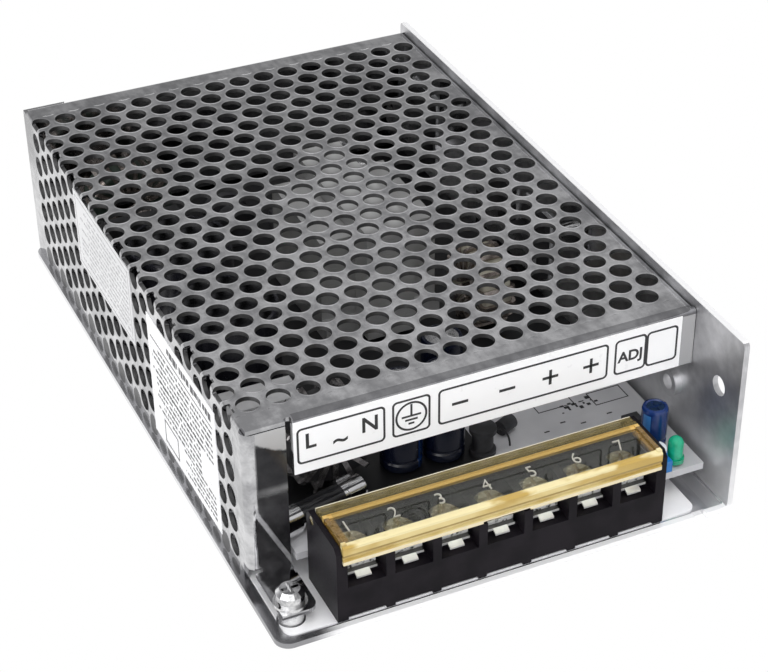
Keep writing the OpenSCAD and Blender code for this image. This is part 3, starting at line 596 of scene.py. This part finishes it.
# %% [markdown]
# The lid is clear amber plastic. It is made as real clear plastic: light goes through it and bends, and a
# trace of haze comes from the roughness. Where the plastic is thick it collects light and glows, which
# takes very many light paths to work out. So those places get a second, plain shader in the glow's colours:
# the front bar, the two ends, the strip at the hinge, and a bright line on each side of that strip.

# %% Clear amber lid
BAR_DEPTH, REAR_DEPTH, END_WIDTH = 1.3 * MM, 3.3 * MM, 3.0 * MM
REAR_EDGE, FOLD_DEPTH = 0.4 * MM, 4.2 * MM
BAR_TOP, BAR_BAND, BAR_FOOT = 3.4 * MM, (1.7 * MM, 2.3 * MM), 0.8 * MM

amber = Finish("clear amber", Transmission_Weight=1.0, IOR=1.49)
haze = amber.noise(60, 3)
streak = amber.noise(150, 3, (0.5, 1, 1))
x, y, z = amber.axes()
low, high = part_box("terminal_lid")
up = z - low[2]
bar = y < low[1] + BAR_DEPTH
rear = y > high[1] - REAR_DEPTH
ends = (x < low[0] + END_WIDTH).highest(x > high[0] - END_WIDTH)
rear_edge = rear * (y > high[1] - REAR_EDGE)
fold_line = (y > high[1] - FOLD_DEPTH) * (y < high[1] - REAR_DEPTH)
tint = amber.mix(haze.band(0.3, 0.7), (0.60, 0.63, 0.54), (0.69, 0.71, 0.60))
amber.set(Base_Color=amber.mix(rear.highest(ends), tint, (0.80, 0.66, 0.36)), Roughness=0.03 + haze * 0.05)
amber.bump(amber.noise(90, 2), 0.12, 0.1 * MM)
glow = amber.mix(streak.band(0.38, 0.62), (0.55, 0.37, 0.09), (0.78, 0.63, 0.28))
for where, colour in ((bar * (up > BAR_TOP) * streak.band(0.42, 0.5), (0.88, 0.77, 0.43)),
                      (bar * (up > BAR_BAND[0]) * (up < BAR_BAND[1]), (0.36, 0.25, 0.07)),
                      (bar * (up < BAR_FOOT), (0.84, 0.74, 0.50)),
                      (ends * (1 - bar), (0.33, 0.20, 0.05)),
                      (rear, (0.20, 0.165, 0.075)),
                      (rear_edge, (0.80, 0.76, 0.62)),
                      (fold_line, (0.62, 0.42, 0.14))):
    glow = amber.mix(where, glow, colour)
glowing = (bar * 0.84 + rear * 0.45 + rear_edge * 0.4 + fold_line * (1 - rear) * 0.7
           + ends * (1 - bar) * (1 - rear) * 0.4)
amber.over(glowing, Base_Color=glow, Roughness=0.12)
wear(amber, "terminal_lid")
print("lid", round((high[0] - low[0]) / MM, 1), "mm long in clear amber")

# %% [markdown]
# The pilot light is a cloudy green lens that lets about half of the light through. The fuse is a thin glass
# tube, and dark, because little light gets inside it.

# %% Lens and fuse glass
lens = Finish("green lens", Transmission_Weight=0.45, IOR=1.5)
cloudy = lens.noise(500, 2)
lens.set(Base_Color=lens.mix(cloudy.band(0.3, 0.7), (0.005, 0.50, 0.26), (0.02, 0.72, 0.42)))
lens.set(Roughness=0.15 + cloudy * 0.1)
wear(lens, "status_led")

glass = Finish("fuse glass", Transmission_Weight=0.6, IOR=1.5)
glass.set(Base_Color=glass.mix(glass.noise(300).band(0.3, 0.7), (0.03, 0.03, 0.035), (0.06, 0.06, 0.065)))
glass.set(Roughness=0.04 + glass.noise(900) * 0.05)
wear(glass, "fuse_tube")
print("lens and glass done")

# %% [markdown]
# A capacitor can is an aluminium cup in a shrink sleeve. The sleeve folds over the shoulder and stops
# there, so the scored top is bare metal, and a pale stripe down one side marks the negative lead. Both are
# painted by place: the height tells sleeve from metal, and the angle round the can's own middle tells where
# the stripe is. On the small trimmer capacitor that stripe is a painted highlight on the side facing the
# left lamp, and the two bulk capacitors have their tops painted nearly black as shade.

# %% Capacitor sleeves
TOP_ZONE, SHOULDER, STRIPE_AND_HIGHLIGHT_END = 0.6 * MM, 0.9 * MM, 1.2 * MM


def can_finish(name, node, sleeve, stripe_and_highlight, stripe_and_highlight_at, half_width=0.45, sheen=0.25, top=(0.75, 0.75, 0.76)):
    low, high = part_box(node)
    middle = [(a + b) / 2 for a, b in zip(low, high)]
    radius = (high[0] - low[0]) / 2
    print(name, "radius", round(radius / MM, 2), "mm")
    made = Finish(name)
    x, y, z = made.axes()
    dx, dy = x - middle[0], y - middle[1]
    bare = (z > high[2] - TOP_ZONE) * ((dx * dx + dy * dy).root() < radius - SHOULDER)
    angle = dy.math("ARCTAN2", dy, dx)
    marked = ((angle - stripe_and_highlight_at).absolute() < half_width) * (z < high[2] - STRIPE_AND_HIGHLIGHT_END)
    grain = made.noise(1200, 2)
    body = made.mix(grain, sleeve, tuple(min(1, v * 1.5 + 0.005) for v in sleeve))
    body = made.mix(marked, body, stripe_and_highlight)
    made.set(Base_Color=made.mix(bare, body, top))
    made.set(Metallic=bare, Roughness=sheen + (grain - 0.5) * 0.1)
    made.bump(grain, 0.1, 0.02 * MM)
    return wear(made, node)


# the trimmer's stripe is a painted highlight on the side facing the left lamp
can_finish("blue sleeve small", "trimmer_capacitor", (0.004, 0.022, 0.11), (0.05, 0.20, 0.50), -2.75,
           half_width=0.35, sheen=0.18, top=(0.10, 0.20, 0.42))
for i, turn in ((1, -0.6), (2, 0.3), (3, 1.1)):
    can_finish(f"blue sleeve {i}", f"output_capacitor_{i}", (0.001, 0.003, 0.014), (0.006, 0.03, 0.12), turn)
# painted shade: the bulk capacitors' bare tops are painted nearly black, as shade inside the case
for i in (1, 2):
    can_finish(f"dark sleeve {i}", f"bulk_capacitor_{i}", (0.008, 0.008, 0.012), (0.3, 0.3, 0.32), 2.0,
               top=(0.05, 0.05, 0.055))

# %% [markdown]
# The transformer is a winding wrapped in pale tape, between the flanges of its bobbin. The tape's turns
# show as fine level lines. Where the flanges are, the height decides.

# %% Winding tape
FLANGE_LOW, FLANGE_HIGH = 16.5 * MM, 30.2 * MM
# radians a metre, which puts a line about every 0.7 mm
TAPE_LINES = 9000

tape = Finish("winding tape")
x, y, z = tape.axes()
flange = (z < FLANGE_LOW).highest(z > FLANGE_HIGH)
film = tape.noise(240, 3)
wrap = tape.mix(film, (0.32, 0.32, 0.315), (0.46, 0.46, 0.45))
tape.set(Base_Color=tape.mix(flange, wrap, (0.40, 0.40, 0.40)))
tape.set(Roughness=0.3 + film * 0.15)
tape.bump((z * TAPE_LINES).sine(), 0.3, 0.05 * MM)
wear(tape, "transformer_winding", "transformer_core")
print("tape wound")

# %% [markdown]
# The board is pale laminate, and glass cloth shows in it as a faint weave, which is the product of two sine
# waves. Only its front edge and the front right part show pale. The rest is painted nearly black as shade
# inside the case.

# %% Board laminate
# radians a metre, which puts a thread about every millimetre
WEAVE = 6000
BOARD_SHADE_Y, BOARD_SHADE_LEFT_Y, BOARD_SHADE_LEFT_X = -37 * MM, -50.5 * MM, 8 * MM

board = Finish("board laminate")
x, y, z = board.axes()
cloud = board.noise(70, 3)
plain = board.mix(cloud.band(0.3, 0.7), (0.50, 0.50, 0.52), (0.62, 0.62, 0.64))
# painted shade: where this mask is 1 the board is painted nearly black, as shade inside the case
lacquer = (y > BOARD_SHADE_Y).highest((x < BOARD_SHADE_LEFT_X) * (y > BOARD_SHADE_LEFT_Y))
board.set(Base_Color=board.mix(lacquer, plain, (0.012, 0.012, 0.013)))
board.set(Roughness=0.34 + cloud * 0.12)
board.bump((x * WEAVE).sine() * (y * WEAVE).sine(), 0.12, 0.02 * MM)
wear(board, "circuit_board")
print("board done")

# %% [markdown]
# The terminals are numbered 1 to 7 in raised figures on the lid. A text object gives clean outlines, and
# turning it into a mesh with a little thickness makes a figure that catches the light like a moulded one.

# %% Lettering
def lettering(name, words, height, place, turn, thickness, finish, body, squeeze=1.0, weight=0.0):
    curve = bpy.data.curves.new(name, "FONT")
    curve.body = words
    # the font's capitals are about seven tenths of its size
    curve.size = height / 0.7
    curve.align_x = "CENTER"
    curve.extrude = thickness / 2
    curve.offset = weight
    curve.resolution_u = 6
    thing = bpy.data.objects.new(name + "_text", curve)
    bpy.context.collection.objects.link(thing)
    shown = thing.evaluated_get(bpy.context.evaluated_depsgraph_get())
    mesh = bpy.data.meshes.new_from_object(shown)
    bpy.data.objects.remove(thing)
    piece = bpy.data.objects.new(name, mesh)
    bpy.context.collection.objects.link(piece)
    mesh.transform(Matrix.Translation(place) @ turn @ Matrix.Diagonal((squeeze, 1, 1, 1)))
    mesh.materials.clear()
    mesh.materials.append(finish.material)
    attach(piece, body)
    return piece


figure_plastic = Finish("raised figures", Transmission_Weight=0.2, IOR=1.49)
soft = figure_plastic.noise(800, 2)
figure_plastic.set(Base_Color=figure_plastic.mix(soft, (0.46, 0.44, 0.38), (0.56, 0.54, 0.48)))
figure_plastic.set(Roughness=0.3 + soft * 0.1)
# each figure stands left of its screw's middle, inside the lid's panel
LEFT_OF_SCREW, FIGURE_Y, FIGURE_Z = 1.8 * MM, -72.3 * MM, 19.35 * MM
for i in POLES:
    screw_low, screw_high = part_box(f"terminal_screw_{i}")
    middle = (screw_low[0] + screw_high[0]) / 2
    place = (middle - LEFT_OF_SCREW, FIGURE_Y, FIGURE_Z)
    lettering(f"figure_{i}", str(i), 3.2 * MM, place, Matrix.Identity(4), 0.3 * MM, figure_plastic, "lid",
              squeeze=0.85, weight=-0.06 * MM)
print("figures 1 to 7 on the lid")

# %% [markdown]
# The legend on the front label is print: black frames with round corners, and marks for line, neutral,
# earth, minus, plus and the adjuster. The frames are flat rings cut from two round-cornered outlines. A
# ring of real thin geometry prints sharper than a painted mask.

# %% Ink and flat pieces
def printed(name, dark, light, rough):
    """Ink, which is a little uneven close up."""
    made = Finish(name)
    speck = made.noise(3000, 2)
    return made.set(Base_Color=made.mix(speck, dark, light), Roughness=rough + speck * 0.1)


def round_outline(x0, x1, z0, z1, r, steps=8):
    points = []
    corners = ((x1 - r, z1 - r, 0), (x0 + r, z1 - r, 90), (x0 + r, z0 + r, 180), (x1 - r, z0 + r, 270))
    for cx, cz, start in corners:
        for k in range(steps + 1):
            a = math.radians(start + 90 * k / steps)
            points.append((cx + r * math.cos(a), cz + r * math.sin(a)))
    return points


def mesh_piece(name, verts, faces, finish, body):
    mesh = bpy.data.meshes.new(name)
    mesh.from_pydata(verts, [], faces)
    mesh.update()
    piece = bpy.data.objects.new(name, mesh)
    bpy.context.collection.objects.link(piece)
    mesh.materials.append(finish.material)
    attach(piece, body)
    return piece


def ring(outer, inner, plane, thickness):
    """Closed flat ring between two outlines of the same number of points, standing upright at plane."""
    count = len(outer)
    verts = [(x, plane - dy, z) for dy in (0, thickness) for line in (outer, inner) for x, z in line]
    faces = []
    for k in range(count):
        n = (k + 1) % count
        a, b, c, d = 0, count, 2 * count, 3 * count
        faces += [(a + k, a + n, b + n, b + k), (c + k, d + k, d + n, c + n),
                  (a + k, c + k, c + n, a + n), (b + k, b + n, d + n, d + k)]
    return verts, faces


ink = printed("black ink", (0.012, 0.012, 0.014), (0.03, 0.03, 0.032), 0.45)
print("ink ready")

# %% [markdown]
# Five frames stand side by side, in millimetres along the label. The circle of the earth sign is a ring as
# well, inside the second frame.

# %% Frames on the front label
INK = 0.04 * MM
LINE = 0.42
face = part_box("front_label")[0][1]
FRAME_LOW, FRAME_HIGH, CORNER, INNER_CORNER = 27.9, 36.0, 1.0, 0.65
FRAMES = ((-37.3, -19.5), (-18.1, -10.2), (-8.6, 28.0), (29.4, 36.5), (36.5, 43.6))
EARTH_X, EARTH_Z, EARTH_RADII = -14.15, 31.95, (3.3, 3.3 * 0.87)
CIRCLE_STEPS = 40
rings = []
for x0, x1 in FRAMES:
    outer = round_outline(x0 * MM, x1 * MM, FRAME_LOW * MM, FRAME_HIGH * MM, CORNER * MM)
    inner = round_outline((x0 + LINE) * MM, (x1 - LINE) * MM, (FRAME_LOW + LINE) * MM,
                          (FRAME_HIGH - LINE) * MM, INNER_CORNER * MM)
    rings.append(ring(outer, inner, face, INK))
turns = [2 * math.pi * k / CIRCLE_STEPS for k in range(CIRCLE_STEPS)]
circles = [[((EARTH_X + r * math.cos(a)) * MM, (EARTH_Z + r * math.sin(a)) * MM) for a in turns]
           for r in EARTH_RADII]
rings.append(ring(*circles, face, INK))
all_verts, all_faces = [], []
for verts, faces in rings:
    all_faces += [tuple(k + len(all_verts) for k in quad) for quad in faces]
    all_verts += verts
mesh_piece("label_frames", all_verts, all_faces, ink, "case")
print("frames and circles", len(rings))

# %% [markdown]
# The signs are single bars: the earth sign's upright and its three level bars, then the minus and plus
# signs. All of them join into one mesh. The letters come from the same helper as the figures, stood
# upright.

# %% Signs on the front label
def bars(name, boxes, finish, body):
    """Thin closed bars, each from (low corner, high corner)."""
    verts, faces = [], []
    for (x0, y0, z0), (x1, y1, z1) in boxes:
        n = len(verts)
        verts += [(x, y, z) for x in (x0, x1) for y in (y0, y1) for z in (z0, z1)]
        faces += [tuple(n + k for k in quad) for quad in
                  ((0, 1, 3, 2), (4, 6, 7, 5), (0, 4, 5, 1), (2, 3, 7, 6), (0, 2, 6, 4), (1, 5, 7, 3))]
    return mesh_piece(name, verts, faces, finish, body)


def upright_bar(x, z, w, h):
    return ((x - w / 2) * MM, face - INK, (z - h / 2) * MM), ((x + w / 2) * MM, face, (z + h / 2) * MM)


SIGN_Z, SIGN_LONG, SIGN_WIDE = 31.9, 3.4, 0.6
MINUS_X, PLUS_X = (-4.0, 6.0), (15.3, 24.2)
marks = [upright_bar(EARTH_X, 33.4, LINE, 2.6)]
marks += [upright_bar(EARTH_X, z, w, LINE) for z, w in ((32.0, 4.0), (31.15, 2.6), (30.3, 1.2))]
marks += [upright_bar(x, SIGN_Z, SIGN_LONG, SIGN_WIDE) for x in MINUS_X]
for x in PLUS_X:
    marks += [upright_bar(x, SIGN_Z, SIGN_LONG, SIGN_WIDE), upright_bar(x, SIGN_Z, SIGN_WIDE, SIGN_LONG)]
bars("label_marks", marks, ink, "case")
stand = Matrix.Rotation(math.radians(90), 4, "X")
for name, words, x, z, h in (("mark_line", "L", -34.6, 31.2, 3.3), ("mark_neutral", "N", -22.6, 31.2, 3.3),
                             ("mark_supply", "~", -28.6, 29.6, 3.6), ("mark_adjust", "ADJ", 33.0, 30.7, 2.3)):
    lettering(name, words, h * MM, (x * MM, face - INK / 2, z * MM), stand, INK, ink, "case",
              weight=0.09 * MM)
print("signs", len(marks), "and four marks in letters")

# %% [markdown]
# The board carries a little print too: outlines of the parts' places, and short blots where small parts
# have their names. These lie flat on its top.

# %% Print on the board
board_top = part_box("circuit_board")[1][2]


def flat_bar(x0, y0, x1, y1):
    return (x0 * MM, y0 * MM, board_top), (x1 * MM, y1 * MM, board_top + INK)


def flat_frame(x0, y0, x1, y1, w=0.22):
    return [flat_bar(x0, y0, x1, y0 + w), flat_bar(x0, y1 - w, x1, y1), flat_bar(x0, y0, x0 + w, y1),
            flat_bar(x1 - w, y0, x1, y1)]


prints = flat_frame(36.2, -43.6, 44.0, -39.0) + flat_frame(24.0, -41.0, 32.5, -37.0)
# a row of blots whose sizes follow a fixed pattern, then four short dashes
BLOTS, BLOT_X, BLOT_Y, BLOT_STEP = 14, 28.5, -43.2, 0.62
for k in range(BLOTS):
    x, y = BLOT_X + k * BLOT_STEP, BLOT_Y + (k * 5 % 7) * 0.42
    prints.append(flat_bar(x, y, x + 0.45 + (k % 3) * 0.35, y + 0.3 + (k % 4) * 0.22))
for x, y in ((30.3, -47.9), (36.8, -47.2), (22.0, -47.5), (26.5, -46.0)):
    prints.append(flat_bar(x, y, x + 1.2, y + 0.35))
bars("board_print", prints, ink, "case")
print("board printed,", len(prints), "marks")

# %% [markdown]
# A thin wire stands beside the drum choke. It is a tube along a quarter turn, from its top down to the
# board.

# %% Wire beside the drum choke
def tube(name, path, radius, finish, body, sides=10):
    """A closed round tube along a path of points."""
    verts, faces = [], []
    for k, here in enumerate(path):
        ahead = (path[min(k + 1, len(path) - 1)] - path[max(k - 1, 0)]).normalized()
        across = ahead.cross(Vector((0.3, 1, 0.2))).normalized()
        up = ahead.cross(across)
        for n in range(sides):
            a = 2 * math.pi * n / sides
            verts.append(here + (across * math.cos(a) + up * math.sin(a)) * radius)
    for k in range(len(path) - 1):
        for n in range(sides):
            m = (n + 1) % sides
            faces.append((k * sides + n, k * sides + m, (k + 1) * sides + m, (k + 1) * sides + n))
    faces.append(tuple(range(sides))[::-1])
    faces.append(tuple(range(len(verts) - sides, len(verts))))
    return mesh_piece(name, verts, faces, finish, body)


WIRE_X, WIRE_Y, WIRE_Z = 11.0, -47.6, 7.7
WIRE_OUT, WIRE_FORWARD, WIRE_RISE = 2.6, 0.6, 4.6
WIRE_STEPS = 16
arc = []
for k in range(WIRE_STEPS + 1):
    turn = math.pi * k / WIRE_STEPS * 0.5
    arc.append(Vector((WIRE_X + WIRE_OUT * math.sin(turn), WIRE_Y - WIRE_FORWARD * k / WIRE_STEPS,
                       WIRE_Z + WIRE_RISE * math.cos(turn))) * MM)
tube("choke_wire", arc, 0.22 * MM, ink, "case")
print("wire of", len(arc), "points")

# %% [markdown]
# The two labels on the left side carry no words here. Rows of short plain bars stand where a label has
# lines of small print, so that the labels don't look unfinished from a distance. Their lengths follow a
# fixed pattern.

# %% Rows on the side labels
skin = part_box("side_labels")[0][0]


def rows(y0, y1, z0, z1, pitch, height, seed):
    """Bars along Y in rows from z1 down to z0."""
    made = []
    z, k = z1, seed
    while z > z0:
        y = y0
        reach = y1 - (k * 7 % 5) * 1.7
        while y < reach:
            k += 1
            length = 0.5 + (k * 13 % 7) * 0.22
            low = z - height * (0.75 + (k * 5 % 3) * 0.125)
            made.append(((skin - INK, y * MM, low * MM), (skin, min(y + length, reach) * MM, z * MM)))
            y += length + (0.4 if k % 4 else 0.9)
        z -= pitch
    return made


def label_frame(y0, y1, z0, z1, w=0.25):
    return [((skin - INK, a * MM, b * MM), (skin, c * MM, d * MM)) for a, b, c, d in
            ((y0, z0, y1, z0 + w), (y0, z1 - w, y1, z1), (y0, z0, y0 + w, z1), (y1 - w, z0, y1, z1))]


grey_ink = printed("grey ink", (0.05, 0.05, 0.055), (0.12, 0.12, 0.125), 0.5)
rule = ((skin - INK, -44.2 * MM, 28.5 * MM), (skin, -9 * MM, 28.75 * MM))
bars("side_label_rows", rows(-43.5, -14, 29.6, 31.5, 3.2, 1.7, 9) + [rule]
     + rows(-43.5, -9.5, 20, 27.3, 1.45, 0.6, 1)
     + rows(-36, -9.5, 12.5, 19.9, 1.45, 0.6, 3) + rows(-43.5, -26, 6, 11.5, 1.3, 0.5, 5)
     + label_frame(-22, -14, 5.5, 11, 0.3), grey_ink, "case")
pale_ink = printed("pale ink", (0.40, 0.40, 0.41), (0.54, 0.54, 0.55), 0.5)
bars("rear_label_rows", rows(4.5, 37.5, 20.2, 34.5, 1.3, 0.5, 4) + label_frame(3.4, 38.5, 19.4, 36.2),
     pale_ink, "case")
print("rows on the side labels")

# %% [markdown]
# The last cell prints that the script has run to its end.

# %% Finish
print("scene done")
